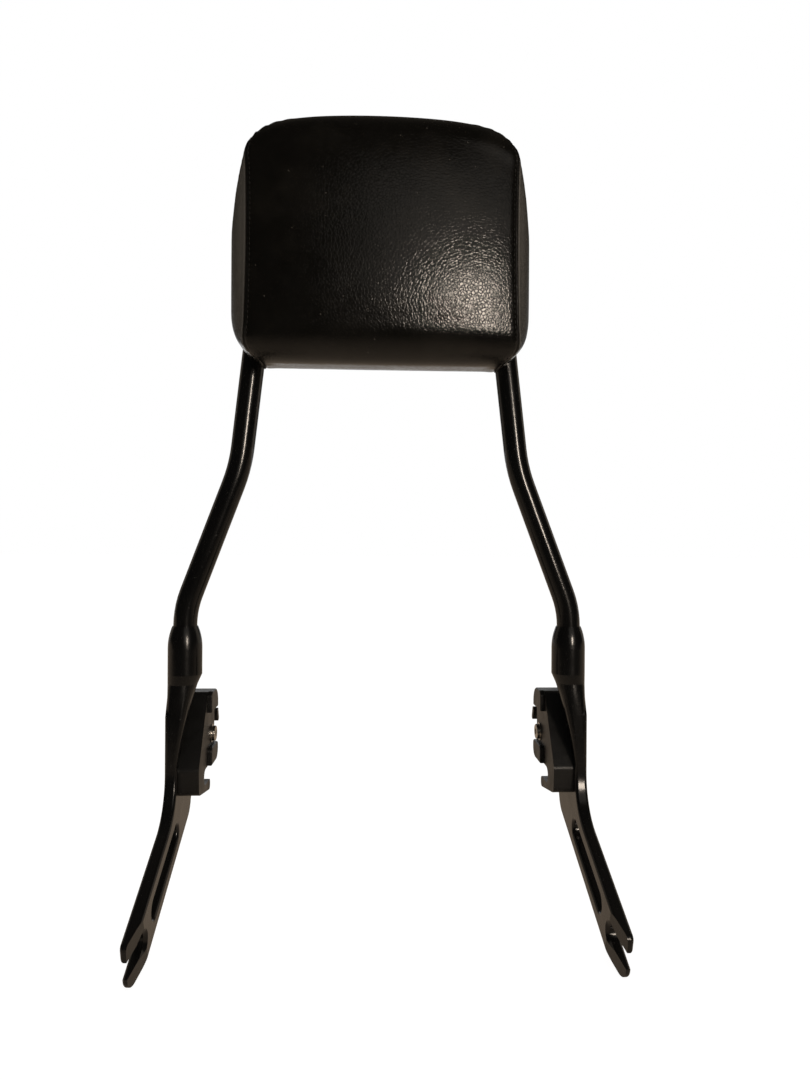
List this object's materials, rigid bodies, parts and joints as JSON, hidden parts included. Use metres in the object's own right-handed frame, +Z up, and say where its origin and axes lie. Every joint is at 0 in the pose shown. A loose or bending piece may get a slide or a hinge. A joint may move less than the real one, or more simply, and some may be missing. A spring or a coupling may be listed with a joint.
{
  "type": "sissy bar",
  "caption": "Detachable passenger backrest for a motorbike: bent tube hoop with a stuffed vinyl pad, standing in forked side plates with spring latches.",
  "frame": {"origin": "midway between the rear docking studs, on their common line, which is the centre line of both latch notches", "axes": "+X to the rider's left, +Y rearward, +Z up along the uprights"},
  "size_m": [0.343, 0.2085, 0.6237],
  "materials": {
    "black_tube": "gloss black coating",
    "black_plate": "satin gloss black coating",
    "latch_black": "satin black casting",
    "lever_black": "satin black",
    "spring_steel": "plain steel",
    "bright_steel": "bright plated steel",
    "board_plastic": "moulded",
    "foam": "foam",
    "vinyl": "fine grained vinyl",
    "brass_insert": "turned",
    "black_screw": "black oxide"
  },
  "bodies": {
    "frame": {"hoop_tube": "black_tube", "upper_crossbar": "black_tube", "lower_crossbar": "black_tube", "left_side_plate": "black_plate", "right_side_plate": "black_plate", "left_latch_body": "latch_black", "right_latch_body": "latch_black", "left_lever_spring": "spring_steel", "right_lever_spring": "spring_steel", "left_pivot_screw": "bright_steel", "right_pivot_screw": "bright_steel", "left_pivot_washer": "bright_steel", "right_pivot_washer": "bright_steel", "left_stop_pin": "spring_steel", "right_stop_pin": "spring_steel", "left_dowels": "spring_steel", "right_dowels": "spring_steel", "pad_base": "board_plastic", "pad_foam": "foam", "pad_cover": "vinyl", "pad_inserts": "brass_insert", "pad_screws": "black_screw", "pad_washers": "black_screw"},
    "left_lever": {"left_latch_lever": "lever_black"},
    "right_lever": {"right_latch_lever": "lever_black"}
  },
  "joints": [
    {"name": "left_lever_hinge", "type": "hinge", "parent": "frame", "child": "left_lever", "pos_m": [0.15075, 0.026, 0.0305], "axis": [-1, 0, 0], "range_deg": [0, 30], "stiffness_Nm_per_rad": 0.15, "springref_deg": -20.05, "deforming": ["left_lever_spring"]},
    {"name": "right_lever_hinge", "type": "hinge", "parent": "frame", "child": "right_lever", "pos_m": [-0.15075, 0.026, 0.0305], "axis": [-1, 0, 0], "range_deg": [0, 30], "stiffness_Nm_per_rad": 0.15, "springref_deg": -20.05, "deforming": ["right_lever_spring"]}
  ]
}
